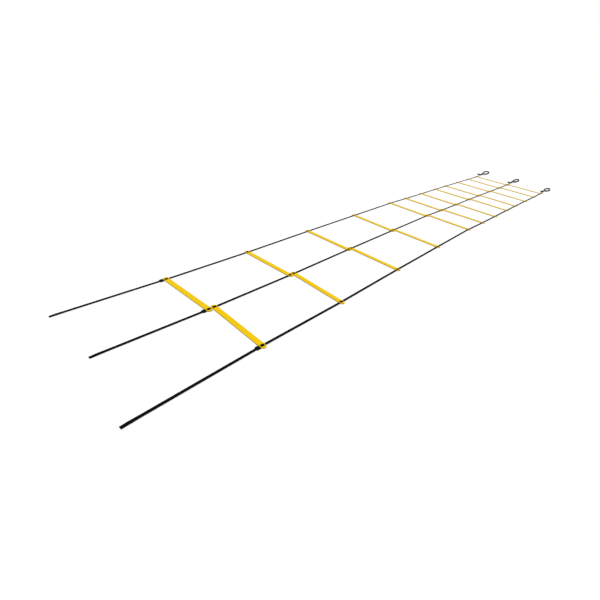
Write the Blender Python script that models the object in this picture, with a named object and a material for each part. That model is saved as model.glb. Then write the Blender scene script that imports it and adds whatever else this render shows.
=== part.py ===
"""Two-lane agility ladder: three webbing straps with twenty-four flat plastic rungs threaded onto them.

A stop slide sits on each strap before the first row, and a loop slide past the last row holds the strap's end
turned back as a loop. Lengths are in metres. The ladder lies along Y with its bare strap tails towards -Y, +Z is
up and the floor is Z = 0. Run it with blender --background --python part.py or from Blender's text editor.
"""

import math

import bmesh
import bpy
from mathutils import Vector

# Straps
STRAP_PITCH = 0.430
STRAP_WIDTH = 0.016
STRAP_THICKNESS = 0.0013
NEAR_TAIL_LENGTH = 0.696
NEAR_TAIL_DROP_LENGTH = 0.045

# What the strap is threaded through
BAR_THICKNESS = 0.0013
THREAD_GAP = 0.0003
LAYER_GAP = 0.0004

# Rungs
RUNG_WIDTH = 0.036
RUNG_END_REACH = 0.024
RUNG_RIM_WIDTH = 0.0055
RUNG_RIM_THICKNESS = 0.0018
RUNG_BAR_WIDTH = 0.007
RUNG_SIDE_GAP = 0.0020
RUNG_EDGE_ROUND = 0.0006
RUNG_CROWN_DROP = 0.0006
RUNG_CROWN_SHOULDER = 0.004
RUNG_CROWN_FLAT = 0.010
STAGGER_GAP = 0.0025

# Rows, with the gaps between them as laid out: four wide ones and then seven narrow ones
WIDE_GAP = 0.660
NARROW_GAP = 0.320
WIDE_GAP_SHARES = (0.993, 1.012, 0.999, 1.000)
NARROW_GAP_SHARES = (0.978, 1.076, 1.096, 0.879, 1.060, 1.003, 0.888)
LEFT_LANE_TILTS_DEG = (2.1, 1.9, 1.0, -0.5, 0.2, 0.4, 0.2, 0.0, 0.6, 0.0, -0.2, -0.3)
RIGHT_LANE_TILTS_DEG = (-1.7, -2.0, 0.4, 0.7, 0.6, 2.0, -0.2, -0.4, -0.8, -0.7, -0.4, 0.0)

# The straps wander sideways together: each row's place, and the tails' at the near tail length, as shares
SWAY = 0.025
ROW_SWAY_SHARES = (0.46, 0.37, -0.20, -0.58, -0.91, -0.55, -0.30, -0.14, 0.04, 0.34, 0.67, 0.82)
TAIL_SWAY_SHARES = (-0.10, -0.10, 1.16)

# Slides
SLIDE_LENGTH = 0.025
SLIDE_SIDE_WALL = 0.0045
SLIDE_SIDE_GAP = 0.0008
SLIDE_RIM_WIDTH = 0.0045
SLIDE_RIM_THICKNESS = 0.0024
SLIDE_BAR_WIDTH = 0.0065
SLIDE_CORNER_RADIUS = 0.004
SLIDE_EDGE_ROUND = 0.0005
STOP_GAP = 0.0015

# Far end, where each strap twists onto its edge and turns back to the left as a loop
LOOP_SLIDE_REACH = 0.165
LOOP_SLIDE_TRAVEL_IN = 0.012
LOOP_SLIDE_TRAVEL_OUT = 0.020
LAST_RUNG_TRAVEL = 0.010
LOOP_REACH = 0.412
LOOP_RISE = 0.012
LOOP_HALF_WIDTH = 0.034
LOOP_DRIFT = 0.014
FREE_TAIL_LENGTH = 0.095
FREE_TAIL_DRIFT = 0.019
FREE_TAIL_RISE = 0.016

# One value for each strap, from left to right
NEAR_TAIL_SHARES = (1.0, 0.962, 1.064)
LOOP_SLIDE_SHARES = (1.12, 0.91, 0.75)
LOOP_REACH_SHARES = (1.0, 0.93, 0.78)
LOOP_WIDTH_SHARES = (1.0, 0.76, 0.80)
LOOP_DRIFT_SHARES = (0.0, 1.0, 1.1)
FREE_TAIL_SHARES = (1.15, 1.05, 0.80)

# The loop from the slide out to its tip and back: share of the way out, of the half width, of the lift that is left
LOOP_CURVE_SHARES = (
    (0.16, 0.50, 0.6),
    (0.40, 0.92, 0.05),
    (0.70, 1.00, 0.0),
    (0.93, 0.72, 0.0),
    (1.00, 0.00, 0.0),
    (0.93, -0.72, 0.0),
    (0.70, -1.00, 0.0),
    (0.40, -0.86, 0.05),
    (0.16, -0.46, 0.6),
)

# The free tail behind the slide: share of its length, of its drift to the left, of its rise
FREE_TAIL_CURVE_SHARES = (
    (0.30, 0.18, 0.1),
    (0.68, 0.58, 0.5),
    (1.00, 1.00, 1.0),
)

CUT_OVERRUN = 0.002
END_ARC_STEPS = 8
CORNER_ARC_STEPS = 3
CURVE_STEPS = 4
DROP_STEPS = 5
TWIST_STEPS = 20

STRAP_NAMES = ("left", "centre", "right")
ROWS = 1 + len(WIDE_GAP_SHARES) + len(NARROW_GAP_SHARES)

# Heights of a strap's centre line: threaded flat, flat on the floor, and on edge on the floor and in a slide
STRAP_HEIGHT = BAR_THICKNESS + THREAD_GAP + STRAP_THICKNESS / 2
FLOOR_STRAP_HEIGHT = STRAP_THICKNESS / 2
EDGE_STRAP_HEIGHT = STRAP_WIDTH / 2 + THREAD_GAP
SLIDE_HALF_ACROSS = STRAP_WIDTH / 2 + SLIDE_SIDE_GAP + SLIDE_SIDE_WALL
LAYER_OFFSET = (STRAP_THICKNESS + LAYER_GAP) / 2
QUARTER_TURN = math.pi / 2


def clear_scene():
    for thing in list(bpy.data.objects):
        bpy.data.objects.remove(thing, do_unlink=True)


def material(name, colour, roughness):
    made = bpy.data.materials.new(name)
    made.use_nodes = True
    shader = made.node_tree.nodes["Principled BSDF"]
    shader.inputs["Base Color"].default_value = (*colour, 1.0)
    shader.inputs["Roughness"].default_value = roughness
    shader.inputs["Metallic"].default_value = 0.0
    return made


def mesh_from_faces(name, points, faces):
    """A closed mesh with its faces pointing out."""
    shape = bmesh.new()
    corners = [shape.verts.new(point) for point in points]
    for face in faces:
        shape.faces.new([corners[index] for index in face])
    bmesh.ops.recalc_face_normals(shape, faces=shape.faces)
    mesh = bpy.data.meshes.new(name)
    shape.to_mesh(mesh)
    shape.free()
    return mesh


def placed(name, mesh, parent, location=(0, 0, 0), turns=(0, 0, 0)):
    thing = bpy.data.objects.new(name, mesh)
    bpy.context.scene.collection.objects.link(thing)
    thing.parent = parent
    thing.location = location
    thing.rotation_euler = turns
    return thing


def rounded_outline(half_length, half_width, radius, steps):
    """A rectangle's outline, long in X, with a quarter circle at each corner."""
    points = []
    for quarter, (side_x, side_y) in enumerate(((1, 1), (-1, 1), (-1, -1), (1, -1))):
        for step in range(steps + 1):
            angle = (quarter + step / steps) * QUARTER_TURN
            across = side_x * (half_length - radius) + radius * math.cos(angle)
            along = side_y * (half_width - radius) + radius * math.sin(angle)
            points.append((across, along))
    return without_repeats(points)


def without_repeats(points):
    kept = []
    for point in points:
        if not kept or math.dist(point, kept[-1]) > THREAD_GAP / 10:
            kept.append(point)
    if math.dist(kept[0], kept[-1]) < THREAD_GAP / 10:
        kept.pop()
    return kept


def stacked_rings(name, rings):
    """A solid through level rings of points, each given as an outline and its height."""
    points = []
    faces = []
    count = len(rings[0][0])
    for outline, height in rings:
        points.extend((across, along, height) for across, along in outline)
    for level in range(len(rings) - 1):
        low = level * count
        for index in range(count):
            after = (index + 1) % count
            faces.append((low + index, low + after, low + count + after, low + count + index))
    faces.append(tuple(range(count)))
    faces.append(tuple(range(len(points) - count, len(points))))
    return mesh_from_faces(name, points, faces)


def thread_cut(half_across, half_length, rim_width, bar_width, layers):
    """What a frame loses so that the strap passes under its rims and over its bar.

    The outline is in Y and Z, with the frame's middle at Y = 0, and it is extruded across the strap.
    """
    outer = half_length + CUT_OVERRUN
    window = half_length - rim_width
    bar = bar_width / 2
    under_rim = rim_underside(layers)
    above = under_rim + max(RUNG_RIM_THICKNESS, SLIDE_RIM_THICKNESS) + CUT_OVERRUN
    half = (
        (bar, BAR_THICKNESS),
        (bar, -CUT_OVERRUN),
        (outer, -CUT_OVERRUN),
        (outer, under_rim),
        (window, under_rim),
        (window, above),
    )
    outline = list(half) + [(-along, height) for along, height in reversed(half)]
    count = len(outline)
    points = []
    for side in (-half_across, half_across):
        points.extend((side, along, height) for along, height in outline)
    faces = [tuple(range(count)), tuple(range(count, 2 * count))]
    for index in range(count):
        after = (index + 1) % count
        faces.append((index, after, count + after, count + index))
    return mesh_from_faces("thread_cut", points, faces)


def rim_underside(layers):
    layered = layers * STRAP_THICKNESS + (layers - 1) * LAYER_GAP
    return BAR_THICKNESS + THREAD_GAP + layered + THREAD_GAP


def cut_mesh(name, body_mesh, cutter_mesh, places):
    """The body's mesh with the cutter taken out of it at each place along X."""
    body = placed(name, body_mesh, None)
    cutters = []
    for across in places:
        cutter = placed("thread_cutter", cutter_mesh, None, (across, 0, 0))
        cutter.hide_render = True
        cutter.display_type = "WIRE"
        cutters.append(cutter)
        cut = body.modifiers.new("thread", "BOOLEAN")
        cut.operation = "DIFFERENCE"
        cut.solver = "EXACT"
        cut.object = cutter
    bpy.context.view_layer.update()
    graph = bpy.context.evaluated_depsgraph_get()
    finished = bpy.data.meshes.new_from_object(body.evaluated_get(graph))
    for thing in [body, *cutters]:
        bpy.data.objects.remove(thing, do_unlink=True)
    return finished


def rung_mesh():
    """A flat rung, crowned on top and round at both ends, with a threaded window over each strap."""
    height = rim_underside(1) + RUNG_RIM_THICKNESS
    half_length = STRAP_PITCH / 2 + RUNG_END_REACH
    half_width = RUNG_WIDTH / 2
    profile = (
        (RUNG_EDGE_ROUND, 0),
        (0, RUNG_EDGE_ROUND),
        (0, height - RUNG_CROWN_DROP - RUNG_EDGE_ROUND),
        (RUNG_EDGE_ROUND, height - RUNG_CROWN_DROP),
        (RUNG_CROWN_SHOULDER, height - RUNG_CROWN_DROP / 3),
        (RUNG_CROWN_FLAT, height),
    )
    rings = []
    for inset, level in profile:
        radius = half_width - inset
        outline = rounded_outline(half_length - inset, radius, radius, END_ARC_STEPS // 2)
        rings.append((outline, level))
    cutter = thread_cut(
        STRAP_WIDTH / 2 + RUNG_SIDE_GAP, half_width, RUNG_RIM_WIDTH, RUNG_BAR_WIDTH, 1
    )
    body = stacked_rings("rung_blank", rings)
    return cut_mesh("rung", body, cutter, (-STRAP_PITCH / 2, STRAP_PITCH / 2))


def slide_mesh(name, layers):
    """A small three-bar frame that the strap threads through once or, where it is doubled, twice."""
    height = rim_underside(layers) + SLIDE_RIM_THICKNESS
    half_length = SLIDE_LENGTH / 2
    profile = (
        (SLIDE_EDGE_ROUND, 0),
        (0, SLIDE_EDGE_ROUND),
        (0, height - SLIDE_EDGE_ROUND),
        (SLIDE_EDGE_ROUND, height),
    )
    rings = []
    for inset, level in profile:
        outline = rounded_outline(
            SLIDE_HALF_ACROSS - inset, half_length - inset, SLIDE_CORNER_RADIUS - inset, CORNER_ARC_STEPS
        )
        rings.append((outline, level))
    cutter = thread_cut(
        STRAP_WIDTH / 2 + SLIDE_SIDE_GAP, half_length, SLIDE_RIM_WIDTH, SLIDE_BAR_WIDTH, layers
    )
    return cut_mesh(name, stacked_rings(name + "_blank", rings), cutter, (0,))


def row_places():
    """Where each row crosses the centre strap, along Y from the first row."""
    gaps = [WIDE_GAP * share for share in WIDE_GAP_SHARES]
    gaps += [NARROW_GAP * share for share in NARROW_GAP_SHARES]
    places = [0.0]
    for gap in gaps:
        places.append(places[-1] + gap)
    return places


def stagger():
    """The left and right rungs lie side by side on the centre strap, half of this each side of the row."""
    return RUNG_WIDTH + STAGGER_GAP


def rung_crossing(row, lane, strap):
    """Where the rung of this row and lane crosses this strap. Lanes are 0 and 1, straps 0 to 2."""
    tilts = (LEFT_LANE_TILTS_DEG, RIGHT_LANE_TILTS_DEG)[lane]
    on_centre = row_places()[row] + (lane - 0.5) * stagger()
    return on_centre + (strap - 1) * STRAP_PITCH * math.tan(math.radians(tilts[row]))


def run_of(strap, along):
    """The straight run of the strap at this place along Y: where it starts, its start's sway and its slope."""
    places = [-NEAR_TAIL_LENGTH, *row_places()]
    sways = [SWAY * share for share in (TAIL_SWAY_SHARES[strap], *ROW_SWAY_SHARES)]
    if along >= places[-1]:
        return places[-1], sways[-1], 0.0
    run = max([index for index in range(ROWS) if places[index] <= along], default=0)
    return places[run], sways[run], (sways[run + 1] - sways[run]) / (places[run + 1] - places[run])


def strap_across(strap, along):
    """Where the strap lies across at this place along Y. It runs straight from row to row."""
    start, sway, slope = run_of(strap, along)
    return (strap - 1) * STRAP_PITCH + sway + slope * (along - start)


def strap_turn(strap, along):
    """How far the strap is turned about Z at this place along Y."""
    return -math.atan(run_of(strap, along)[2])


def add_rungs(root, plastic):
    mesh = rung_mesh()
    mesh.materials.clear()
    mesh.materials.append(plastic)
    for row in range(ROWS):
        for lane, side in enumerate(("left", "right")):
            tilt = math.radians((LEFT_LANE_TILTS_DEG, RIGHT_LANE_TILTS_DEG)[lane][row])
            crossings = [rung_crossing(row, lane, strap) for strap in (lane, lane + 1)]
            across = sum(strap_across(lane + index, along) for index, along in enumerate(crossings)) / 2
            placed(f"rung_{row + 1:02d}_{side}", mesh, root, (across, sum(crossings) / 2, 0), (0, 0, tilt))


def near_rung_crossing(strap):
    """The first row's crossing that the stop slide lies against: on the centre strap that is the left rung."""
    return rung_crossing(0, 1 if strap == 2 else 0, strap)


def far_rung_crossing(strap):
    """The last row's crossing nearest the loop: on the centre strap that is the right rung."""
    return rung_crossing(ROWS - 1, 0 if strap == 0 else 1, strap)


def loop_slide_place(strap):
    return far_rung_crossing(strap) + LOOP_SLIDE_REACH * LOOP_SLIDE_SHARES[strap]


def add_slides(root, plastic):
    """Stop slides lie flat. Loop slides stand on edge, with the strap's way out on their right."""
    stop = slide_mesh("stop_slide", 1)
    loop = slide_mesh("loop_slide", 2)
    for mesh in (stop, loop):
        mesh.materials.clear()
        mesh.materials.append(plastic)
    before_rung = RUNG_WIDTH / 2 + STOP_GAP + SLIDE_LENGTH / 2
    face = LAYER_OFFSET + STRAP_HEIGHT
    for strap, side in enumerate(STRAP_NAMES):
        along = near_rung_crossing(strap) - before_rung
        spot = (strap_across(strap, along), along, 0)
        placed(f"{side}_stop_slide", stop, root, spot, (0, 0, strap_turn(strap, along)))
        along = loop_slide_place(strap)
        spot = (strap_across(strap, along) + face, along, SLIDE_HALF_ACROSS)
        placed(f"{side}_loop_slide", loop, root, spot, (0, -QUARTER_TURN, 0))


def eased(share):
    return share * share * (3 - 2 * share)


def between(start, end, share):
    return start + share * (end - start)


def near_tail_stations(strap):
    """The bare near tail, which rises from the floor to the threaded height."""
    stations = []
    for step in range(DROP_STEPS + 1):
        share = step / DROP_STEPS
        along = share * NEAR_TAIL_DROP_LENGTH - NEAR_TAIL_LENGTH * NEAR_TAIL_SHARES[strap]
        height = between(FLOOR_STRAP_HEIGHT, STRAP_HEIGHT, eased(share))
        stations.append((0, along, height, 0))
    return stations


def row_stations():
    """The flat stretch, straight from row to row."""
    return [(0, along, STRAP_HEIGHT, 0) for along in row_places()]


def twist_stations(start, end):
    """The stretch past the last row where the strap turns onto its edge."""
    stations = []
    for step in range(TWIST_STEPS + 1):
        share = step / TWIST_STEPS
        roll = eased(share) * QUARTER_TURN
        height = between(STRAP_HEIGHT, SLIDE_HALF_ACROSS, math.sin(roll))
        stations.append((eased(share) * LAYER_OFFSET, between(start, end, share), height, roll))
    return stations


def smooth_through(knots):
    """Points of a Catmull-Rom curve from the second knot to the last but one."""
    points = []
    for index in range(1, len(knots) - 2):
        before, start, end, after = (Vector(knot) for knot in knots[index - 1 : index + 3])
        for step in range(CURVE_STEPS):
            share = step / CURVE_STEPS
            points.append(
                start
                + 0.5 * share * (end - before)
                + share**2 * (before - 2.5 * start + 2 * end - 0.5 * after)
                + share**3 * (1.5 * start - 0.5 * before - 1.5 * end + 0.5 * after)
            )
    points.append(Vector(knots[-2]))
    return points


def on_edge(points):
    return [(*point, QUARTER_TURN) for point in points]


def loop_stations(strap, doubled_near, doubled_far):
    """The loop, from the near end of the doubled stretch round its tip and back."""
    lift = SLIDE_HALF_ACROSS - EDGE_STRAP_HEIGHT
    reach = far_rung_crossing(strap) + LOOP_REACH * LOOP_REACH_SHARES[strap] - doubled_far
    half_width = LOOP_HALF_WIDTH * LOOP_WIDTH_SHARES[strap]
    drift = LOOP_DRIFT * LOOP_DRIFT_SHARES[strap]
    knots = [
        (LAYER_OFFSET, doubled_near, SLIDE_HALF_ACROSS),
        (LAYER_OFFSET, doubled_far, SLIDE_HALF_ACROSS),
    ]
    for out, side, lifted in LOOP_CURVE_SHARES:
        across = side * half_width + eased(out) * drift
        height = EDGE_STRAP_HEIGHT + lifted * lift + eased(out) * LOOP_RISE
        knots.append((across, doubled_far + out * reach, height))
    knots.append((-LAYER_OFFSET, doubled_far, SLIDE_HALF_ACROSS))
    knots.append((-LAYER_OFFSET, doubled_near, SLIDE_HALF_ACROSS))
    return on_edge(smooth_through(knots))


def free_tail_stations(strap, doubled_near, doubled_far):
    """The doubled strap's free end, which leaves the slide towards the ladder and to the left."""
    knots = [
        (-LAYER_OFFSET, doubled_far, SLIDE_HALF_ACROSS),
        (-LAYER_OFFSET, doubled_near, SLIDE_HALF_ACROSS),
    ]
    for back, side, raised in FREE_TAIL_CURVE_SHARES:
        across = -LAYER_OFFSET - side * FREE_TAIL_DRIFT * FREE_TAIL_SHARES[strap]
        along = doubled_near - back * FREE_TAIL_LENGTH * FREE_TAIL_SHARES[strap]
        knots.append((across, along, SLIDE_HALF_ACROSS + raised * FREE_TAIL_RISE))
    last, before = Vector(knots[-1]), Vector(knots[-2])
    knots.append(last + (last - before))
    return on_edge(smooth_through(knots))


def strap_stations(strap):
    """The strap's centre line and roll, from its bare near tail to the end of the free tail."""
    slide = loop_slide_place(strap)
    doubled_far = slide + LOOP_SLIDE_TRAVEL_OUT + SLIDE_LENGTH / 2
    doubled_near = slide - LOOP_SLIDE_TRAVEL_IN - SLIDE_LENGTH / 2
    flat_end = far_rung_crossing(strap) + RUNG_WIDTH / 2 + LAST_RUNG_TRAVEL
    stations = near_tail_stations(strap) + row_stations()
    stations += twist_stations(flat_end, doubled_near)
    stations += loop_stations(strap, doubled_near, doubled_far)
    stations += free_tail_stations(strap, doubled_near, doubled_far)
    return [(across + strap_across(strap, along), along, height, roll) for across, along, height, roll in stations]


def ribbon_mesh(name, stations):
    """A ribbon with square ends along the stations, each (across, along, height, roll).

    At no roll it lies flat, and at a quarter turn it stands on edge.
    """
    half_width = STRAP_WIDTH / 2
    half_thickness = STRAP_THICKNESS / 2
    spots = [Vector(station[:3]) for station in stations]
    points = []
    for index, spot in enumerate(spots):
        ahead = spots[min(index + 1, len(spots) - 1)] - spots[max(index - 1, 0)]
        ahead.normalize()
        level = ahead.cross(Vector((0, 0, 1))).normalized()
        upright = level.cross(ahead)
        roll = stations[index][3]
        across = level * math.cos(roll) + upright * math.sin(roll)
        through = upright * math.cos(roll) - level * math.sin(roll)
        for side, depth in ((1, 1), (-1, 1), (-1, -1), (1, -1)):
            points.append(spot + across * side * half_width + through * depth * half_thickness)
    faces = [(0, 1, 2, 3), tuple(range(len(points) - 4, len(points)))]
    for index in range(len(spots) - 1):
        low = 4 * index
        for corner in range(4):
            after = (corner + 1) % 4
            square = (low + corner, low + after, low + 4 + after, low + 4 + corner)
            # the two broad sides are split the same way, so that they stay apart where the ribbon twists
            first = 0 if corner < 2 else 1
            turned = square[first:] + square[:first]
            faces.append(turned[:3])
            faces.append((turned[2], turned[3], turned[0]))
    return mesh_from_faces(name, points, faces)


def add_straps(root, webbing):
    for strap, side in enumerate(STRAP_NAMES):
        mesh = ribbon_mesh(f"{side}_strap", strap_stations(strap))
        mesh.materials.append(webbing)
        placed(f"{side}_strap", mesh, root)


def centre_over_origin(root):
    """Moves the whole ladder so that its box is centred over the origin and stands on the floor."""
    bpy.context.view_layer.update()
    corners = []
    for thing in root.children:
        corners += [thing.matrix_world @ Vector(corner) for corner in thing.bound_box]
    low = [min(corner[axis] for corner in corners) for axis in range(3)]
    high = [max(corner[axis] for corner in corners) for axis in range(3)]
    root.location = (-(low[0] + high[0]) / 2, -(low[1] + high[1]) / 2, -low[2])


def shade(root):
    for thing in root.children:
        thing.data.shade_smooth()
        thing.data.set_sharp_from_angle(angle=math.radians(30))


def main():
    clear_scene()
    root = bpy.data.objects.new("ladder", None)
    bpy.context.scene.collection.objects.link(root)
    yellow_plastic = material("yellow_plastic", (0.93, 0.52, 0.01), 0.45)
    black_plastic = material("black_plastic", (0.012, 0.012, 0.013), 0.4)
    black_webbing = material("black_webbing", (0.010, 0.010, 0.011), 0.85)
    add_straps(root, black_webbing)
    add_rungs(root, yellow_plastic)
    add_slides(root, black_plastic)
    centre_over_origin(root)
    shade(root)


main()
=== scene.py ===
"""The looks of a two-lane agility ladder: three webbing straps, twenty-four sliding rungs and six slides.

Lengths are in metres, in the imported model's frame: +Y runs along the straps from their bare tails to their
loops, +Z is up and the floor is Z = 0.
"""

import math

import bmesh
import bpy
from mathutils import Matrix, Vector


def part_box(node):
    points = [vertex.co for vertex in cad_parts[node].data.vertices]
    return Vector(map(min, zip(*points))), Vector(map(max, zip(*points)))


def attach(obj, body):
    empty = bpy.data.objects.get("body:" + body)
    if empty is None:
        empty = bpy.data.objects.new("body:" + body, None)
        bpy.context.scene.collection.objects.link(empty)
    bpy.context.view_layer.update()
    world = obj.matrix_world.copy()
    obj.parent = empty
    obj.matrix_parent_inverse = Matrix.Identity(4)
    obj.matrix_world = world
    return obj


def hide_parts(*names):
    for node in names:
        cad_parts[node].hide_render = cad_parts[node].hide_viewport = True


# Straps and what they are threaded through, as in the solids
STRAP_PITCH = 0.430
STRAP_WIDTH = 0.016
STRAP_THICKNESS = 0.0013
BAR_THICKNESS = 0.0013
THREAD_GAP = 0.0003
LAYER_GAP = 0.0004

# Near tails, and how far along them the webbing comes up from the floor
NEAR_TAIL_LENGTH = 0.696
NEAR_TAIL_SHARES = (1.0, 0.962, 1.064)
NEAR_TAIL_DROP_LENGTH = 0.045

# The shown webbing stands this far proud of its solid on each side and has a woven selvedge. Its section's
# corners lie so many rounds inside the edge, at these shares of half the thickness.
WEBBING_PROUD = 0.0005
SELVEDGE_WIDTH = 0.0018
SELVEDGE_ROUND = 0.0005
SELVEDGE_SECTION = ((2.4, 1.0), (1.0, 0.94), (0.25, 0.72), (0.0, 0.25))

# A cut end is melted, which leaves it a little narrower and a good deal thinner
SEAL_LENGTH = 0.004
SEAL_NARROWING = 0.02
SEAL_THINNING = 0.45
SEAL_STATIONS = (0.0008, 0.002)

# Further out than any slide goes, a near tail's cut end is pressed a little wider
TAIL_SPREAD_SHARE = 0.10
TAIL_SPREAD_LENGTH = 0.080
TAIL_SPREAD_FADE = 0.030

# Rungs
RUNG_WIDTH = 0.036
RUNG_END_REACH = 0.024
RUNG_RIM_WIDTH = 0.0055
RUNG_RIM_THICKNESS = 0.0018
RUNG_BAR_WIDTH = 0.007
RUNG_SIDE_GAP = 0.0020
STAGGER_GAP = 0.0025

# Slides
SLIDE_LENGTH = 0.025
SLIDE_SIDE_WALL = 0.0045
SLIDE_SIDE_GAP = 0.0008
SLIDE_RIM_WIDTH = 0.0045
SLIDE_RIM_THICKNESS = 0.0024
SLIDE_BAR_WIDTH = 0.0065
SLIDE_CORNER_RADIUS = 0.004

# How the mouldings' edges are rounded. A foot is given as inset and height above the floor, a crown as inset
# and depth below the top.
RUNG_FOOT = ((0.0008, 0.0), (0.0003, 0.00012), (0.0, 0.0005))
RUNG_CROWN = (
    (0.0, 0.0019),
    (0.0001, 0.0014),
    (0.0004, 0.0010),
    (0.0009, 0.00072),
    (0.0020, 0.0005),
    (0.0036, 0.0003),
    (0.0050, 0.00018),
    (0.0074, 0.00006),
    (0.0100, 0.0),
)
SLIDE_FOOT = ((0.0007, 0.0), (0.0002, 0.0002), (0.0, 0.0007))
SLIDE_CROWN = ((0.0, 0.0011), (0.00012, 0.0006), (0.00045, 0.0002), (0.0010, 0.0))

# Windows. The lip is given by how far it flares and how deep below the top.
WINDOW_RADIUS = 0.0024
WINDOW_LIP = (
    (0.0, 0.0010),
    (0.0001, 0.0006),
    (0.0003, 0.0003),
    (0.0006, 0.0001),
    (0.0010, 0.0),
    (0.0030, -0.0006),
)
PASSAGE_CORNER = 0.0005
CORNER_MIDDLE_SHARE = 0.3
CUT_OVERRUN = 0.002

# The small round recess at a rung's middle: shares of its radius, and of its depth above the rung's top
DIMPLE_RADIUS = 0.0036
DIMPLE_DEPTH = 0.0018
DIMPLE_BOWL = (
    (0.60, -1.0),
    (0.80, -0.96),
    (0.90, -0.80),
    (0.96, -0.30),
    (1.02, -0.08),
    (1.14, 0.0),
    (1.3, 0.3),
)

# The strap's raised back where it climbs over a bar, and how far short of the window's rims it ends
HUMP_RISE = 0.0012
HUMP_SINK = 0.0004
HUMP_WIDTH_SHARE = 0.995
RUNG_HUMP_MARGIN = 0.0008
SLIDE_HUMP_MARGIN = 0.0004

# Rows
WIDE_GAP = 0.660
NARROW_GAP = 0.320
WIDE_GAP_SHARES = (0.993, 1.012, 0.999, 1.000)
NARROW_GAP_SHARES = (0.978, 1.076, 1.096, 0.879, 1.060, 1.003, 0.888)
LEFT_LANE_TILTS_DEG = (2.1, 1.9, 1.0, -0.5, 0.2, 0.4, 0.2, 0.0, 0.6, 0.0, -0.2, -0.3)
RIGHT_LANE_TILTS_DEG = (-1.7, -2.0, 0.4, 0.7, 0.6, 2.0, -0.2, -0.4, -0.8, -0.7, -0.4, 0.0)
ROWS = len(LEFT_LANE_TILTS_DEG)

# The straps wander sideways together: each row's place, and the tails' at the near tail length, as shares
SWAY = 0.025
ROW_SWAY_SHARES = (0.46, 0.37, -0.20, -0.58, -0.91, -0.55, -0.30, -0.14, 0.04, 0.34, 0.67, 0.82)
TAIL_SWAY_SHARES = (-0.10, -0.10, 1.16)

# Far end
LOOP_SLIDE_TRAVEL_IN = 0.012
LOOP_SLIDE_TRAVEL_OUT = 0.020
LAST_RUNG_TRAVEL = 0.010
LOOP_REACH = 0.412
LOOP_RISE = 0.012
LOOP_HALF_WIDTH = 0.034
LOOP_DRIFT = 0.014
LOOP_REACH_SHARES = (1.0, 0.93, 0.78)
LOOP_WIDTH_SHARES = (1.0, 0.76, 0.80)
LOOP_DRIFT_SHARES = (0.0, 1.0, 1.1)
FREE_TAIL_LENGTH = 0.095
FREE_TAIL_DRIFT = 0.019
FREE_TAIL_RISE = 0.016
FREE_TAIL_SHARES = (1.15, 1.05, 0.80)

# Past its slide's reach, a loop of webbing on edge leans over to the left
LOOP_LEAN_DEG = 25.0
LOOP_LEAN_FADE = 0.045

# A loop's course as shares of its reach, of its half width and of the slide's extra height
LOOP_CURVE_SHARES = (
    (0.16, 0.50, 0.6),
    (0.40, 0.92, 0.05),
    (0.70, 1.00, 0.0),
    (0.93, 0.72, 0.0),
    (1.00, 0.00, 0.0),
    (0.93, -0.72, 0.0),
    (0.70, -1.00, 0.0),
    (0.40, -0.86, 0.05),
    (0.16, -0.46, 0.6),
)

# A free tail's course as shares of its length, drift and rise
FREE_TAIL_CURVE_SHARES = (
    (0.30, 0.18, 0.1),
    (0.68, 0.58, 0.5),
    (1.00, 1.00, 1.0),
)

STRAP_NAMES = ("left", "centre", "right")
LANE_NAMES = ("left", "right")
STRAP_HEIGHT = BAR_THICKNESS + THREAD_GAP + STRAP_THICKNESS / 2
FLOOR_STRAP_HEIGHT = STRAP_THICKNESS / 2
EDGE_STRAP_HEIGHT = STRAP_WIDTH / 2 + WEBBING_PROUD + THREAD_GAP
SLIDE_HALF_ACROSS = STRAP_WIDTH / 2 + SLIDE_SIDE_GAP + SLIDE_SIDE_WALL
LAYER_OFFSET = (STRAP_THICKNESS + LAYER_GAP) / 2
QUARTER_TURN = math.pi / 2

# Fineness and shading of the shown surfaces, and how near together two corners or two stations are one
DROP_STEPS = 14
FLAT_STEP = 0.03
TWIST_STEPS = 44
CURVE_STEPS = 9
HUMP_STEPS = 12
END_ARC_STEPS = 14
WINDOW_ARC_STEPS = 5
SLIDE_ARC_STEPS = 6
DIMPLE_ARC_STEPS = 7
SAME_CORNER = 0.00003
SAME_STATION = 0.00001
MOULDING_SHARP_DEG = 32
WEBBING_SHARP_DEG = 50
BROAD_FACE_WEIGHT = 90

# Mouldings' linear colours: body, clouds, painted shade on steep sides, scuffs and worn edges
YELLOW_COLOURS = (
    (0.915, 0.595, 0.002),
    (0.895, 0.570, 0.002),
    (0.19, 0.148, 0.002),
    (0.94, 0.66, 0.02),
    (0.46, 0.34, 0.003),
)
YELLOW_ROUGHNESS = 0.5
YELLOW_SPECULAR = 0.03
BLACK_COLOURS = (
    (0.005, 0.005, 0.0055),
    (0.007, 0.007, 0.0075),
    (0.003, 0.003, 0.003),
    (0.015, 0.015, 0.016),
    (0.015, 0.015, 0.016),
)
BLACK_ROUGHNESS = 0.44
BLACK_SPECULAR = 0.07

# Mouldings: noises, bumps as distance and strength, and ramps as low and high, then start and end
CLOUD_NOISE = {"scale": 21.0, "detail": 4.0}
CLOUD_COLOUR_RAMP = (0.38, 0.68)
CLOUD_DULLING_RANGE = (0.3, 0.7)
CLOUD_DULLING = (-0.05, 0.06)
SCUFF_NOISE = {"scale": 60.0, "detail": 5.0, "roughness": 0.7, "stretch": (0.25, 3.0, 1.0)}
SCUFF_RAMP = (0.64, 0.74, 0.0, 0.35)
EDGE_RAMP_FROM_SIDE = (0.45, 0.8)
EDGE_RAMP_FROM_TOP = (0.995, 0.93)
EDGE_NOISE = {"scale": 140.0, "detail": 3.0}
EDGE_PATCH_RAMP = (0.4, 0.6, 0.1, 0.7)
# Painted shade: the darker side colour comes in as a face's level falls from the first value to the second
PAINTED_SIDE_SHADE_RAMP = (0.7, 0.25)
FLOW_NOISE = {"scale": 45.0, "detail": 2.0, "roughness": 0.4, "stretch": (0.3, 1.0, 1.0)}
FLOW_BUMP = (0.0004, 0.25)
GRAIN_NOISE = {"scale": 1500.0, "detail": 2.0}
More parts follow.
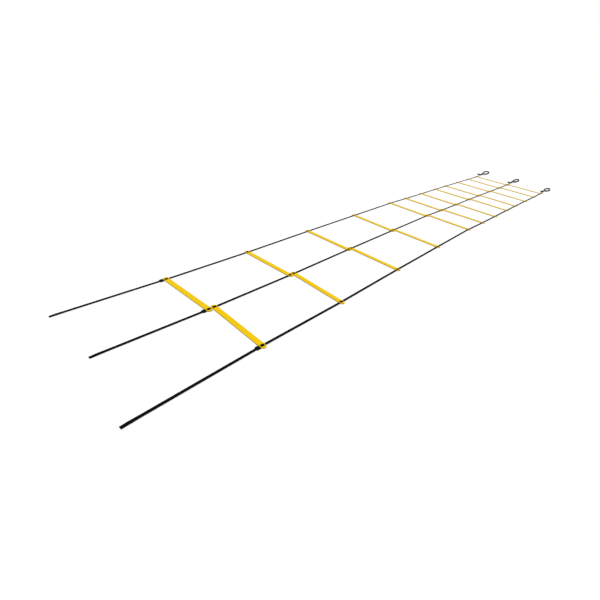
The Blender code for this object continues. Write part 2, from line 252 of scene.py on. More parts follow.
GRAIN_BUMP = (0.00006, 0.35)

# Webbing: linear colours of the painted shade between the yarns, of the yarns, where faded and where melted
WEBBING_COLOURS = (
    (0.0022, 0.0022, 0.0024),
    (0.006, 0.006, 0.0065),
    (0.010, 0.010, 0.0095),
    (0.004, 0.004, 0.004),
)
WEBBING_SPECULAR = 0.03

# Webbing: the weave's pitches, how it fades into the selvedge, and its noises, ramps and bumps as above
HERRINGBONE_WIDTH = 0.0025
RIB_PITCH = 0.0016
RIB_SLANT_PITCH = 0.0022
RIB_HEIGHT_SHARE = 0.6
YARN_PITCH = 0.00085
YARN_HEIGHT_SHARE = 0.4
BINDING_PITCH = 0.0011
SELVEDGE_FADE_IN = 0.0003
SELVEDGE_FADE_OUT = 0.0001
HOLLOW_SHADE_RAMP = (-0.7, 0.6)
WEAVE_BUMP = (0.00018, 0.8)
MELT_RAMP = (0.3, 0.75)
MELT_SMOOTHING = 0.4
DUST_NOISE = {"scale": 14.0, "detail": 5.0, "roughness": 0.65}
DUST_RAMP = (0.55, 0.8, 0.0, 0.5)
FUZZ_NOISE = {"scale": 900.0, "detail": 3.0, "roughness": 0.7}
FUZZ_ROUGHNESS_RAMP = (0.3, 0.7, 0.72, 0.92)
FUZZ_BUMP = (0.00008, 0.4)

# The photograph's camera
IMAGE_SIZE = 600
FOCAL_PIXELS = 384.176
CAMERA_PLACE = (1.53694, -3.31213, 1.2905)
CAMERA_YAW = -0.7020509
CAMERA_PITCH = 0.5767663
CAMERA_ROLL = 0.1180898
CAMERA_SIGHT = 200.0
SENSOR_WIDTH = 36.0

# Studio
WHITE = (1.0, 1.0, 1.0, 1.0)
FLOOR_HALF = 40.0
FLOOR_DROP = 0.0002
FLOOR_COLOUR = (0.86, 0.86, 0.86, 1.0)
FLOOR_ROUGHNESS = 0.9
FLOOR_GLOW = 0.22
WORLD_STRENGTH = 0.76
SUN_STRENGTH = 1.0
SUN_SPREAD_DEG = 40.0
SUN_TURN_DEG = (-38.0, 0.0, -25.0)


def eased(share):
    share = min(max(share, 0.0), 1.0)
    return share * share * (3 - 2 * share)


def between(start, end, share):
    return start + share * (end - start)


def middle_of(node):
    low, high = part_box(node)
    return (low + high) / 2


def linked(name, data):
    thing = bpy.data.objects.new(name, data)
    bpy.context.scene.collection.objects.link(thing)
    return thing


def new_object(name, mesh, body):
    thing = linked(name, mesh)
    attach(thing, body)
    return thing


def smooth_shading(mesh, angle_deg):
    mesh.shade_smooth()
    mesh.set_sharp_from_angle(angle=math.radians(angle_deg))


def rounded_outline(half_length, half_width, radius, steps):
    """A rectangle's outline, long in X, with a quarter circle at each corner."""
    points = []
    for quarter, (side_x, side_y) in enumerate(((1, 1), (-1, 1), (-1, -1), (1, -1))):
        for step in range(steps + 1):
            angle = (quarter + step / steps) * QUARTER_TURN
            across = side_x * (half_length - radius) + radius * math.cos(angle)
            along = side_y * (half_width - radius) + radius * math.sin(angle)
            if not points or math.dist((across, along), points[-1]) > SAME_CORNER:
                points.append((across, along))
    if math.dist(points[0], points[-1]) < SAME_CORNER:
        points.pop()
    return points


def mesh_from_faces(name, points, faces):
    shape = bmesh.new()
    corners = [shape.verts.new(point) for point in points]
    for face in faces:
        shape.faces.new([corners[index] for index in face])
    bmesh.ops.recalc_face_normals(shape, faces=shape.faces)
    mesh = bpy.data.meshes.new(name)
    shape.to_mesh(mesh)
    shape.free()
    return mesh


def ring_ends(count, rings):
    """The faces over the first and the last of some rings of points, each with as many as the count."""
    last = (rings - 1) * count
    return [tuple(range(count)), tuple(range(last, last + count))]


def ring_walls(count, rings):
    """The faces between each of the rings and the next."""
    walls = []
    for low in range(0, (rings - 1) * count, count):
        for index in range(count):
            after = (index + 1) % count
            walls.append((low + index, low + after, low + count + after, low + count + index))
    return walls


def stacked(name, levels):
    """A solid through level outlines, each given with its height."""
    count = len(levels[0][0])
    points = [(across, along, height) for outline, height in levels for across, along in outline]
    return mesh_from_faces(name, points, ring_walls(count, len(levels)) + ring_ends(count, len(levels)))


def extruded(name, outline, low, high):
    """A solid whose outline in X and Z runs along Y from low to high."""
    count = len(outline)
    points = [(across, along, height) for along in (low, high) for across, height in outline]
    return mesh_from_faces(name, points, ring_ends(count, 2) + ring_walls(count, 2))


def finished_mesh(thing, helpers=()):
    """The object's mesh with its modifiers applied. The object and its helpers are removed."""
    bpy.context.view_layer.update()
    graph = bpy.context.evaluated_depsgraph_get()
    finished = bpy.data.meshes.new_from_object(thing.evaluated_get(graph))
    for used in (thing, *helpers):
        bpy.data.objects.remove(used, do_unlink=True)
    return finished


def cut_away(mesh, cutters):
    """The mesh with each cutter, a mesh and its place, taken out of it."""
    body = linked("cut_body", mesh)
    tools = []
    for cutter, place in cutters:
        tool = linked("cutter", cutter)
        tool.location = place
        tools.append(tool)
        cut = body.modifiers.new("cut", "BOOLEAN")
        cut.operation = "DIFFERENCE"
        cut.solver = "EXACT"
        cut.object = tool
    return finished_mesh(body, tools)


def weighted(mesh):
    """The mesh with normals that lean towards its broad faces, so that these look flat."""
    smooth_shading(mesh, MOULDING_SHARP_DEG)
    thing = linked("to_weight", mesh)
    lean = thing.modifiers.new("lean", "WEIGHTED_NORMAL")
    lean.keep_sharp = True
    lean.weight = BROAD_FACE_WEIGHT
    return finished_mesh(thing)


def rim_underside(layers):
    layered = layers * STRAP_THICKNESS + (layers - 1) * LAYER_GAP
    return BAR_THICKNESS + THREAD_GAP + layered + THREAD_GAP


def moulding_blank(name, half_across, half_along, corner_radius, arc_steps, foot, crown, height):
    levels = [*foot, *((inset, height - depth) for inset, depth in crown)]
    rings = []
    for inset, level in levels:
        outline = rounded_outline(half_across - inset, half_along - inset, corner_radius - inset, arc_steps)
        rings.append((outline, level))
    return stacked(name, rings)


def thread_cutters(half_across, half_along, rim_width, bar_width, layers, top):
    """The window, open from the bar's top up and flared at its lip, and the two passages under the rims."""
    levels = [(0.0, BAR_THICKNESS), *((flare, top - depth) for flare, depth in WINDOW_LIP)]
    rings = []
    for flare, height in levels:
        half_window = half_along - rim_width + flare
        outline = rounded_outline(half_across + flare, half_window, WINDOW_RADIUS + flare, WINDOW_ARC_STEPS)
        rings.append((outline, height))
    under = rim_underside(layers)
    inset = CORNER_MIDDLE_SHARE * PASSAGE_CORNER
    right = [
        (half_across, -CUT_OVERRUN),
        (half_across, under - PASSAGE_CORNER),
        (half_across - inset, under - inset),
        (half_across - PASSAGE_CORNER, under),
    ]
    left = [(-across, height) for across, height in right]
    passage = [left[0], *right, *left[:0:-1]]
    outer = half_along + CUT_OVERRUN
    return (
        stacked("window_cutter", rings),
        extruded("passage_cutter", passage, -outer, -bar_width / 2),
        extruded("passage_cutter", passage, bar_width / 2, outer),
    )


def rung_shape(plastic):
    """A moulded rung: soft edges, a shallow crown, a flared window over each strap and a dimple."""
    height = rim_underside(1) + RUNG_RIM_THICKNESS
    half_across = STRAP_PITCH / 2 + RUNG_END_REACH
    half_along = RUNG_WIDTH / 2
    blank = moulding_blank(
        "rung_blank", half_across, half_along, half_along, END_ARC_STEPS, RUNG_FOOT, RUNG_CROWN, height
    )
    threading = thread_cutters(
        STRAP_WIDTH / 2 + RUNG_SIDE_GAP, half_along, RUNG_RIM_WIDTH, RUNG_BAR_WIDTH, 1, height
    )
    cutters = [(cutter, (side * STRAP_PITCH / 2, 0, 0)) for side in (-1, 1) for cutter in threading]
    bowl = []
    for share, rise in DIMPLE_BOWL:
        radius = DIMPLE_RADIUS * share
        outline = rounded_outline(radius, radius, radius, DIMPLE_ARC_STEPS)
        bowl.append((outline, height + rise * DIMPLE_DEPTH))
    cutters.append((stacked("dimple_cutter", bowl), (0, 0, 0)))
    return of_material(weighted(cut_away(blank, cutters)), plastic)


def slide_shape(layers, plastic):
    """A moulded three-bar slide with soft edges, for one or two layers of strap."""
    height = rim_underside(layers) + SLIDE_RIM_THICKNESS
    half_along = SLIDE_LENGTH / 2
    blank = moulding_blank(
        "slide_blank",
        SLIDE_HALF_ACROSS,
        half_along,
        SLIDE_CORNER_RADIUS,
        SLIDE_ARC_STEPS,
        SLIDE_FOOT,
        SLIDE_CROWN,
        height,
    )
    threading = thread_cutters(
        STRAP_WIDTH / 2 + SLIDE_SIDE_GAP, half_along, SLIDE_RIM_WIDTH, SLIDE_BAR_WIDTH, layers, height
    )
    return of_material(weighted(cut_away(blank, [(cutter, (0, 0, 0)) for cutter in threading])), plastic)


def of_material(mesh, material):
    mesh.materials.clear()
    mesh.materials.append(material)
    return mesh


def placed_copy(mesh, matrix):
    made = mesh.copy()
    made.transform(matrix)
    return made


def band_section(width_share, thickness_share):
    """A band's cross-section with soft selvedges, as (across, through) points."""
    half = (STRAP_WIDTH / 2 + WEBBING_PROUD) * width_share
    thick = STRAP_THICKNESS / 2 * thickness_share
    quarter = [(half - rounds * SELVEDGE_ROUND, share * thick) for rounds, share in SELVEDGE_SECTION]
    right = quarter + [(across, -through) for across, through in reversed(quarter)]
    left = [(-across, through) for across, through in reversed(right)]
    return right + left


def woven(name, rings, wraps):
    """A solid of webbing through rings of points. A point's wrap is its place on the weave, in metres."""
    count = len(rings[0])
    points = [point for ring in rings for point in ring]
    first, last = ring_ends(count, len(rings))
    mesh = mesh_from_faces(name, points, [first[::-1], last, *ring_walls(count, len(rings))])
    weave = mesh.uv_layers.new(name="weave")
    for loop in mesh.loops:
        weave.data[loop.index].uv = wraps[loop.vertex_index]
    smooth_shading(mesh, WEBBING_SHARP_DEG)
    return mesh


def heading(points, index):
    """The direction at one of a line of points."""
    return (points[min(index + 1, len(points) - 1)] - points[max(index - 1, 0)]).normalized()


def webbing_mesh(name, stations):
    """A woven band along stations of (across, along, height, roll), sealed at both ends."""
    spots = [Vector(station[:3]) for station in stations]
    runs = [0.0]
    for before, after in zip(spots, spots[1:]):
        runs.append(runs[-1] + (after - before).length)
    rings = []
    wraps = []
    seals = []
    for index, (spot, run) in enumerate(zip(spots, runs)):
        ahead = heading(spots, index)
        level = ahead.cross(Vector((0, 0, 1))).normalized()
        upright = level.cross(ahead)
        roll = stations[index][3]
        across = level * math.cos(roll) + upright * math.sin(roll)
        through = upright * math.cos(roll) - level * math.sin(roll)
        seal = max(0.0, 1 - run / SEAL_LENGTH, 1 - (runs[-1] - run) / SEAL_LENGTH)
        wider = 1 + TAIL_SPREAD_SHARE * eased((TAIL_SPREAD_LENGTH - run) / TAIL_SPREAD_FADE)
        section = band_section(1 - SEAL_NARROWING * seal, 1 - SEAL_THINNING * seal * seal)
        rings.append([spot + across * side * wider + through * depth for side, depth in section])
        wraps += [(run, side) for side, _ in section]
        seals += [seal] * len(section)
    mesh = woven(name, rings, wraps)
    sealed = mesh.attributes.new("sealed", "FLOAT", "POINT")
    sealed.data.foreach_set("value", seals)
    return mesh


def hump_mesh(name, half_run, base, place, webbing):
    """The strap's raised back where it climbs over a bar: it grows out of the strap and sinks back."""
    section = band_section(HUMP_WIDTH_SHARE, 1)
    tops = sorted((across, through) for across, through in section if through > 0)
    foot = base - STRAP_THICKNESS / 2 - HUMP_SINK
    rings = []
    wraps = []
    for step in range(HUMP_STEPS + 1):
        share = 2 * step / HUMP_STEPS - 1
        along = share * half_run
        lift = HUMP_RISE * math.cos(share * QUARTER_TURN) ** 2
        ring = [(across, along, base + through - STRAP_THICKNESS / 2 + lift) for across, through in tops]
        ring += [(across, along, foot) for across, _ in reversed(tops)]
        rings.append(ring)
        wraps += [(along, across) for across, _, _ in ring]
    mesh = woven(name, rings, wraps)
    mesh.transform(place)
    return of_material(mesh, webbing)


def smooth_through(knots):
    """Points of a Catmull-Rom curve from the second knot to the last but one."""
    points = []
    for index in range(1, len(knots) - 2):
        before, start, end, after = (Vector(knot) for knot in knots[index - 1 : index + 3])
        for step in range(CURVE_STEPS):
            share = step / CURVE_STEPS
            points.append(
                start
                + 0.5 * share * (end - before)
                + share**2 * (before - 2.5 * start + 2 * end - 0.5 * after)
                + share**3 * (1.5 * start - 0.5 * before - 1.5 * end + 0.5 * after)
            )
    points.append(Vector(knots[-2]))
    return points


def rung_name(row, lane):
    return f"rung_{row + 1:02d}_{LANE_NAMES[lane]}"


def rung_tilt(row, lane):
    return math.radians((LEFT_LANE_TILTS_DEG, RIGHT_LANE_TILTS_DEG)[lane][row])


def row_places():
    """Where each row lies along the straps, from the first row."""
    gaps = [WIDE_GAP * share for share in WIDE_GAP_SHARES]
    gaps += [NARROW_GAP * share for share in NARROW_GAP_SHARES]
    places = [0.0]
    for gap in gaps:
        places.append(places[-1] + gap)
    return places


def crossing(row, lane, strap):
    """Where the rung of this row and lane crosses this strap, along the strap from the first row."""
    on_centre = row_places()[row] + (lane - 0.5) * (RUNG_WIDTH + STAGGER_GAP)
    return on_centre + (strap - 1) * STRAP_PITCH * math.tan(rung_tilt(row, lane))


def run_of(strap, along):
    """The straight run of the strap at this place: where it starts, its start's sway and its slope."""
    places = [-NEAR_TAIL_LENGTH, *row_places()]
    sways = [SWAY * share for share in (TAIL_SWAY_SHARES[strap], *ROW_SWAY_SHARES)]
    if along >= places[-1]:
        return places[-1], sways[-1], 0.0
    run = max([index for index in range(ROWS) if places[index] <= along], default=0)
    return places[run], sways[run], (sways[run + 1] - sways[run]) / (places[run + 1] - places[run])


def strap_across(strap, along):
    start, sway, slope = run_of(strap, along)
    return (strap - 1) * STRAP_PITCH + sway + slope * (along - start)


def strap_turn(strap, along):
    return -math.atan(run_of(strap, along)[2])


def ladder_place():
    """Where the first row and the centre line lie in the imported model, told from the first left rung."""
    crossings = [crossing(0, 0, strap) for strap in (0, 1)]
    across = sum(strap_across(strap, crossings[strap]) for strap in (0, 1)) / 2
    return middle_of(rung_name(0, 0)) - Vector((across, sum(crossings) / 2, 0))


def on_strap(strap, along):
    """The place and turn of something threaded on the strap here."""
    place = ladder_place()
    spot = Matrix.Translation((place.x + strap_across(strap, along), place.y + along, 0))
    return spot @ Matrix.Rotation(strap_turn(strap, along), 4, "Z")


def near_tail_stations(strap):
    stations = []
    for step in range(DROP_STEPS + 1):
        share = step / DROP_STEPS
        height = between(FLOOR_STRAP_HEIGHT, STRAP_HEIGHT, eased(share))
        along = share * NEAR_TAIL_DROP_LENGTH - NEAR_TAIL_LENGTH * NEAR_TAIL_SHARES[strap]
        stations.append((0, along, height, 0))
    return stations


def with_seal_stations(stations):
    """The stations and two more close to the first, where the cut end is melted thin."""
    first, second = stations[0], stations[1]
    extra = []
    for run in SEAL_STATIONS:
        share = run / (Vector(second[:3]) - Vector(first[:3])).length
        extra.append(tuple(between(a, b, share) for a, b in zip(first, second)))
    return [first, *extra, *stations[1:]]


def flat_stations(start, end):
    """The flat stretch, with a station at each row, where the strap may bend."""
    stops = [start, *row_places(), end]
    places = []
    for before, after in zip(stops, stops[1:]):
        steps = max(1, round((after - before) / FLAT_STEP))
        places += [between(before, after, step / steps) for step in range(1, steps + 1)]
    return [(0, along, STRAP_HEIGHT, 0) for along in places[:-1]]


def twist_stations(start, end):
    """From flat to on edge, and over to the outgoing layer's place in the loop slide."""
    stations = []
    for step in range(TWIST_STEPS + 1):
        share = step / TWIST_STEPS
        roll = eased(share) * QUARTER_TURN
        height = between(STRAP_HEIGHT, SLIDE_HALF_ACROSS, math.sin(roll))
        stations.append((eased(share) * LAYER_OFFSET, between(start, end, share), height, roll))
    return stations


def loop_stations(strap, doubled_near, doubled_far, last_crossing):
    """On edge through the slide, round the leaning loop and back through the slide."""
    lift = SLIDE_HALF_ACROSS - EDGE_STRAP_HEIGHT
    reach = last_crossing + LOOP_REACH * LOOP_REACH_SHARES[strap] - doubled_far
    half_width = LOOP_HALF_WIDTH * LOOP_WIDTH_SHARES[strap]
    drift = LOOP_DRIFT * LOOP_DRIFT_SHARES[strap]
    knots = [
        (LAYER_OFFSET, doubled_near, SLIDE_HALF_ACROSS),
        (LAYER_OFFSET, doubled_far, SLIDE_HALF_ACROSS),
    ]
    for out, side, lifted in LOOP_CURVE_SHARES:
        across = side * half_width + eased(out) * drift
        height = EDGE_STRAP_HEIGHT + lifted * lift + eased(out) * LOOP_RISE
        knots.append((across, doubled_far + out * reach, height))
    knots.append((-LAYER_OFFSET, doubled_far, SLIDE_HALF_ACROSS))
    knots.append((-LAYER_OFFSET, doubled_near, SLIDE_HALF_ACROSS))
    points = smooth_through(knots)
    stations = []
    for index, point in enumerate(points):
        lean = math.radians(LOOP_LEAN_DEG) * eased((point.y - doubled_far) / LOOP_LEAN_FADE)
        stations.append((*point, QUARTER_TURN + lean * heading(points, index).y))
    return stations


def free_tail_stations(strap, doubled_near, doubled_far):
    """On edge from the slide to the webbing's other cut end, drifting off and rising."""
    knots = [
        (-LAYER_OFFSET, doubled_far, SLIDE_HALF_ACROSS),
        (-LAYER_OFFSET, doubled_near, SLIDE_HALF_ACROSS),
    ]
    for back, side, raised in FREE_TAIL_CURVE_SHARES:
        across = -LAYER_OFFSET - side * FREE_TAIL_DRIFT * FREE_TAIL_SHARES[strap]
        along = doubled_near - back * FREE_TAIL_LENGTH * FREE_TAIL_SHARES[strap]
        knots.append((across, along, SLIDE_HALF_ACROSS + raised * FREE_TAIL_RISE))
    last, before = Vector(knots[-1]), Vector(knots[-2])
    knots.append(last + (last - before))
    return [(*point, QUARTER_TURN) for point in smooth_through(knots)]


def strap_stations(strap):
    """The whole strap from its bare tail to the end of its free tail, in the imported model's frame."""
    last_lane = 0 if strap == 0 else 1
    last_crossing = crossing(ROWS - 1, last_lane, strap)
    place = ladder_place()
    slide = middle_of(f"{STRAP_NAMES[strap]}_loop_slide").y - place.y
    doubled_far = slide + LOOP_SLIDE_TRAVEL_OUT + SLIDE_LENGTH / 2
    doubled_near = slide - LOOP_SLIDE_TRAVEL_IN - SLIDE_LENGTH / 2
    flat_end = last_crossing + RUNG_WIDTH / 2 + LAST_RUNG_TRAVEL
    stations = with_seal_stations(near_tail_stations(strap))
    stations += flat_stations(stations[-1][1], flat_end)
    stations += twist_stations(flat_end, doubled_near)
    stations += loop_stations(strap, doubled_near, doubled_far, last_crossing)
    free_tail = free_tail_stations(strap, doubled_near, doubled_far)
    stations += reversed(with_seal_stations(free_tail[::-1]))
    # stations that fall together would give the band no direction there
    kept = [stations[0]]
    for station in stations[1:]:
        if (Vector(station[:3]) - Vector(kept[-1][:3])).length > SAME_STATION:
            kept.append(station)
    moved = []
    for across, along, height, roll in kept:
        moved.append((across + strap_across(strap, along) + place.x, along + place.y, height, roll))
    return moved


class Nodes:
    """Adds nodes to one node tree and joins them."""

    def __init__(self, tree):
        self.tree = tree

    def add(self, kind, **values):
        made = self.tree.nodes.new(kind)
        for name, value in values.items():
            setattr(made, name, value)
        return made

    def feed(self, socket, value):
        if isinstance(value, bpy.types.NodeSocket):
            self.tree.links.new(value, socket)
        else:
            socket.default_value = value

    def feed_all(self, node, values):
        for name, value in values.items():
            self.feed(node.inputs[name], value)

    def math(self, operation, first, second=0.0):
        made = self.add("ShaderNodeMath", operation=operation)
        self.feed(made.inputs[0], first)
        self.feed(made.inputs[1], second)
        return made.outputs[0]

    def wave(self, phase):
        return self.math("SINE", phase)

    def phase(self, length, pitch):
        return self.math("MULTIPLY", length, 2 * math.pi / pitch)

    def fade(self, share, first, second):
        """A number that goes from the first to the second as the share goes from 0 to 1."""
        kept = self.math("MULTIPLY", first, self.math("SUBTRACT", 1.0, share))
        return self.math("ADD", kept, self.math("MULTIPLY", second, share))

    def ramp(self, value, low, high, start=0.0, end=1.0):
        made = self.add("ShaderNodeMapRange", clamp=True, interpolation_type="SMOOTHSTEP")
        bounds = {"From Min": low, "From Max": high, "To Min": start, "To Max": end}
        self.feed_all(made, {"Value": value, **bounds})
        return made.outputs["Result"]

    def mix(self, share, first, second):
        made = self.add("ShaderNodeMix", data_type="RGBA")
        self.feed_all(made, {"Factor": share, "A": first, "B": second})
        return made.outputs["Result"]

    def noise(self, place, scale, detail, roughness=0.55, stretch=(1, 1, 1)):
        squeezed = self.add("ShaderNodeMapping")
        self.feed_all(squeezed, {"Vector": place, "Scale": stretch})
        made = self.add("ShaderNodeTexNoise")
        grain = {"Scale": scale, "Detail": detail, "Roughness": roughness}
        self.feed_all(made, {"Vector": squeezed.outputs["Vector"], **grain})
        return made.outputs["Fac"]

    def bump(self, height, distance, strength):
        made = self.add("ShaderNodeBump")
        self.feed_all(made, {"Height": height, "Distance": distance, "Strength": strength})
        return made

    def bumps(self, broad, broad_bump, fine, fine_bump):
        """A normal with fine bumps, each given as distance and strength, on top of broad ones."""
        under = self.bump(broad, *broad_bump)
        over = self.bump(fine, *fine_bump)
        self.feed(over.inputs["Normal"], under.outputs["Normal"])
        return over.outputs["Normal"]

    def surface(self, colour, roughness, specular, normal=None):
        shader = self.tree.nodes["Principled BSDF"]
        values = {"Base Color": colour, "Roughness": roughness, "Specular IOR Level": specular}
        self.feed_all(shader, values)
        if normal is not None:
            self.feed(shader.inputs["Normal"], normal)
        return shader

    def seen_directly(self):
        """1 for rays from the camera, a mirror or a clear surface, and 0 for scattered light."""
        path = self.add("ShaderNodeLightPath").outputs
        seen = self.math("MAXIMUM", path["Is Camera Ray"], path["Is Glossy Ray"])
        return self.math("MAXIMUM", seen, path["Is Transmission Ray"])


def new_material(name):
    material = bpy.data.materials.new(name)
    material.use_nodes = True
    return material, Nodes(material.node_tree)


def opaque(colours):
    return [(*colour, 1.0) for colour in colours]


def moulded_plastic(name, colours, roughness, specular):
    """Plastic in its body colour with painted shade on steep sides, scuffs, and wear on rounded edges."""
    # side is the painted shade on steep sides
    body, cloud, side, worn, edged = opaque(colours)
    material, nodes = new_material(name)
    places = nodes.add("ShaderNodeTexCoord")
    place = places.outputs["Object"]
    facing = nodes.add("ShaderNodeSeparateXYZ")
    nodes.feed(facing.inputs[0], places.outputs["Normal"])
    level = nodes.math("ABSOLUTE", facing.outputs["Z"])
    clouds = nodes.noise(place, **CLOUD_NOISE)
    colour = nodes.mix(nodes.ramp(clouds, *CLOUD_COLOUR_RAMP), body, cloud)
    scuffed = nodes.ramp(nodes.noise(place, **SCUFF_NOISE), *SCUFF_RAMP)
    colour = nodes.mix(scuffed, colour, worn)
    off_side = nodes.ramp(level, *EDGE_RAMP_FROM_SIDE)
    edge = nodes.math("MULTIPLY", off_side, nodes.ramp(level, *EDGE_RAMP_FROM_TOP))
    patches = nodes.ramp(nodes.noise(place, **EDGE_NOISE), *EDGE_PATCH_RAMP)
    colour = nodes.mix(nodes.math("MULTIPLY", edge, patches), colour, edged)
    # Painted shade: steep sides take the darker side colour, however the light falls on them
    colour = nodes.mix(nodes.ramp(level, *PAINTED_SIDE_SHADE_RAMP), colour, side)
    dulling = [roughness + change for change in CLOUD_DULLING]
    dull = nodes.math("ADD", nodes.ramp(clouds, *CLOUD_DULLING_RANGE, *dulling), scuffed)
    flow = nodes.noise(place, **FLOW_NOISE)
    grain = nodes.noise(place, **GRAIN_NOISE)
    nodes.surface(colour, dull, specular, nodes.bumps(flow, FLOW_BUMP, grain, GRAIN_BUMP))
    return material


def webbing_material():
    """Black webbing: herringbone ribs on fine yarns, painted shade between them, melted smooth at cut ends.
    """
    painted_hollow_shade, yarn, faded, melt = opaque(WEBBING_COLOURS)
    material, nodes = new_material("black_webbing_weave")
    weave = nodes.add("ShaderNodeUVMap", uv_map="weave")
    parts = nodes.add("ShaderNodeSeparateXYZ")
    nodes.feed(parts.inputs[0], weave.outputs["UV"])
    along, across = parts.outputs["X"], parts.outputs["Y"]
    slant = nodes.math("PINGPONG", across, HERRINGBONE_WIDTH)
    ribs = nodes.wave(nodes.math("ADD", nodes.phase(along, RIB_PITCH), nodes.phase(slant, RIB_SLANT_PITCH)))
    yarns = nodes.wave(nodes.phase(across, YARN_PITCH))
    rib_height = nodes.math("MULTIPLY", ribs, RIB_HEIGHT_SHARE)
    body = nodes.math("ADD", rib_height, nodes.math("MULTIPLY", yarns, YARN_HEIGHT_SHARE))
    inner = STRAP_WIDTH / 2 + WEBBING_PROUD - SELVEDGE_WIDTH
    from_middle = nodes.math("ABSOLUTE", across)
    selvedge = nodes.ramp(from_middle, inner - SELVEDGE_FADE_IN, inner + SELVEDGE_FADE_OUT)
    height = nodes.fade(selvedge, body, nodes.wave(nodes.phase(along, BINDING_PITCH)))
    sealed = nodes.add("ShaderNodeAttribute", attribute_name="sealed").outputs["Fac"]
    melted = nodes.ramp(sealed, *MELT_RAMP)
    height = nodes.math("MULTIPLY", height, nodes.math("SUBTRACT", 1.0, melted))
    place = nodes.add("ShaderNodeTexCoord").outputs["Object"]
    fuzz = nodes.noise(place, **FUZZ_NOISE)
    dust = nodes.noise(place, **DUST_NOISE)
    # Painted shade: where the weave lies low, between ribs and yarns, it takes the darker colour
    colour = nodes.mix(nodes.ramp(height, *HOLLOW_SHADE_RAMP), painted_hollow_shade, yarn)
    colour = nodes.mix(nodes.ramp(dust, *DUST_RAMP), colour, faded)
    colour = nodes.mix(melted, colour, melt)
    smoothed = nodes.math("MULTIPLY", melted, MELT_SMOOTHING)
    rough = nodes.math("SUBTRACT", nodes.ramp(fuzz, *FUZZ_ROUGHNESS_RAMP), smoothed)
    nodes.surface(colour, rough, WEBBING_SPECULAR, nodes.bumps(height, WEAVE_BUMP, fuzz, FUZZ_BUMP))
    return material


def add_floor():
    """A wide white floor. Rays that see it directly find it white, apart from the ladder's soft shadow."""
    sides = ((-1, -1), (1, -1), (1, 1), (-1, 1))
    corners = [(side_x * FLOOR_HALF, side_y * FLOOR_HALF, -FLOOR_DROP) for side_x, side_y in sides]
    mesh = bpy.data.meshes.new("floor")
    mesh.from_pydata(corners, [], [(0, 1, 2, 3)])
    material, nodes = new_material("floor_white")
    shader = nodes.surface(FLOOR_COLOUR, FLOOR_ROUGHNESS, 0.0)
    glow = nodes.math("MULTIPLY", nodes.seen_directly(), FLOOR_GLOW)
    nodes.feed_all(shader, {"Emission Color": WHITE, "Emission Strength": glow})
    floor = linked("floor", of_material(mesh, material))


def add_light():
    """White light from all around, also where it is seen directly, and a broad lamp for the soft shadow."""
    world = bpy.data.worlds.new("studio")
    bpy.context.scene.world = world
    world.use_nodes = True
    nodes = Nodes(world.node_tree)
    strength = nodes.ramp(nodes.seen_directly(), 0.0, 1.0, WORLD_STRENGTH, 1.0)
    nodes.feed_all(world.node_tree.nodes["Background"], {"Color": WHITE, "Strength": strength})
    lamp = bpy.data.lights.new("softbox_sun", "SUN")
    lamp.energy = SUN_STRENGTH
    lamp.angle = math.radians(SUN_SPREAD_DEG)
    sun = linked("softbox_sun", lamp)
    sun.rotation_euler = [math.radians(turn) for turn in SUN_TURN_DEG]


def add_camera():
    level_reach = math.cos(CAMERA_PITCH)
    ahead = Vector(
        (math.sin(CAMERA_YAW) * level_reach, math.cos(CAMERA_YAW) * level_reach, -math.sin(CAMERA_PITCH))
    )
    right = ahead.cross(Vector((0, 0, 1))).normalized()
    up = right.cross(ahead)
    turned_right = math.cos(CAMERA_ROLL) * right + math.sin(CAMERA_ROLL) * up
    turned_up = math.cos(CAMERA_ROLL) * up - math.sin(CAMERA_ROLL) * right
    data = bpy.data.cameras.new("camera")
    data.sensor_width = SENSOR_WIDTH
    data.lens = FOCAL_PIXELS / IMAGE_SIZE * SENSOR_WIDTH
    data.clip_end = CAMERA_SIGHT
    camera = linked("camera", data)
    place = Matrix((turned_right, turned_up, -ahead)).transposed().to_4x4()
    place.translation = Vector(CAMERA_PLACE)
    camera.matrix_world = place
    bpy.context.scene.camera = camera


def add_straps(webbing):
    for strap, side in enumerate(STRAP_NAMES):
        mesh = of_material(webbing_mesh(f"{side}_strap_band", strap_stations(strap)), webbing)
        band = new_object(f"{side}_strap_band", mesh, "straps")
        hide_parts(f"{side}_strap")


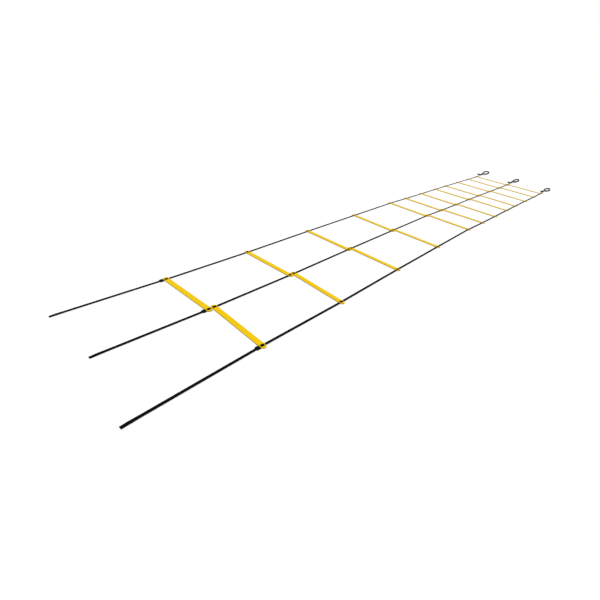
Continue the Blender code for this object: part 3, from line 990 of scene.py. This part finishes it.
def add_rungs(plastic, webbing):
    shape = rung_shape(plastic)
    half_run = RUNG_WIDTH / 2 - RUNG_RIM_WIDTH - RUNG_HUMP_MARGIN
    for row in range(ROWS):
        for lane in range(len(LANE_NAMES)):
            name = rung_name(row, lane)
            middle = middle_of(name)
            tilt = Matrix.Rotation(rung_tilt(row, lane), 4, "Z")
            turn = Matrix.Translation((middle.x, middle.y, 0)) @ tilt
            rung = new_object(f"{name}_moulding", placed_copy(shape, turn), name)
            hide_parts(name)
            for strap in (lane, lane + 1):
                place = on_strap(strap, crossing(row, lane, strap))
                hump = hump_mesh(f"{name}_hump", half_run, STRAP_HEIGHT, place, webbing)
                riding = new_object(f"{name}_webbing_{STRAP_NAMES[strap]}", hump, name)


def add_slide(name, shape, place, strap_height, webbing):
    slide = new_object(f"{name}_moulding", placed_copy(shape, place), name)
    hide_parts(name)
    half_run = SLIDE_LENGTH / 2 - SLIDE_RIM_WIDTH - SLIDE_HUMP_MARGIN
    hump = hump_mesh(f"{name}_hump", half_run, strap_height, place, webbing)
    new_object(f"{name}_webbing", hump, name)


def add_slides(plastic, webbing):
    """On each strap a stop slide, flat on it, and a loop slide, on edge with its top to the left."""
    stop = slide_shape(1, plastic)
    loop = slide_shape(2, plastic)
    for strap, side in enumerate(STRAP_NAMES):
        name = f"{side}_stop_slide"
        place = on_strap(strap, middle_of(name).y - ladder_place().y)
        add_slide(name, stop, place, STRAP_HEIGHT, webbing)
        name = f"{side}_loop_slide"
        low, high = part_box(name)
        place = Matrix.Translation((high.x, (low.y + high.y) / 2, (low.z + high.z) / 2))
        place = place @ Matrix.Rotation(-QUARTER_TURN, 4, "Y")
        add_slide(name, loop, place, STRAP_HEIGHT + 2 * LAYER_OFFSET, webbing)


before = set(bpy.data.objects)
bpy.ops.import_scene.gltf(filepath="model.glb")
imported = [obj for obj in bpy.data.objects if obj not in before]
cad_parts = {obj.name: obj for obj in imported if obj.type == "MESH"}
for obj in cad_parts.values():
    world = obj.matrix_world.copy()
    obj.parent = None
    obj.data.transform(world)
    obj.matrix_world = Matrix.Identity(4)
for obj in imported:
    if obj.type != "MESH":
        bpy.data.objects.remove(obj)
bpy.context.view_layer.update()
add_camera()
add_light()
add_floor()
yellow_plastic = moulded_plastic("yellow_plastic_moulded", YELLOW_COLOURS, YELLOW_ROUGHNESS, YELLOW_SPECULAR)
black_plastic = moulded_plastic("black_plastic_moulded", BLACK_COLOURS, BLACK_ROUGHNESS, BLACK_SPECULAR)
black_webbing = webbing_material()
add_straps(black_webbing)
add_rungs(yellow_plastic, black_webbing)
add_slides(black_plastic, black_webbing)
bpy.context.scene.view_settings.view_transform = "Standard"
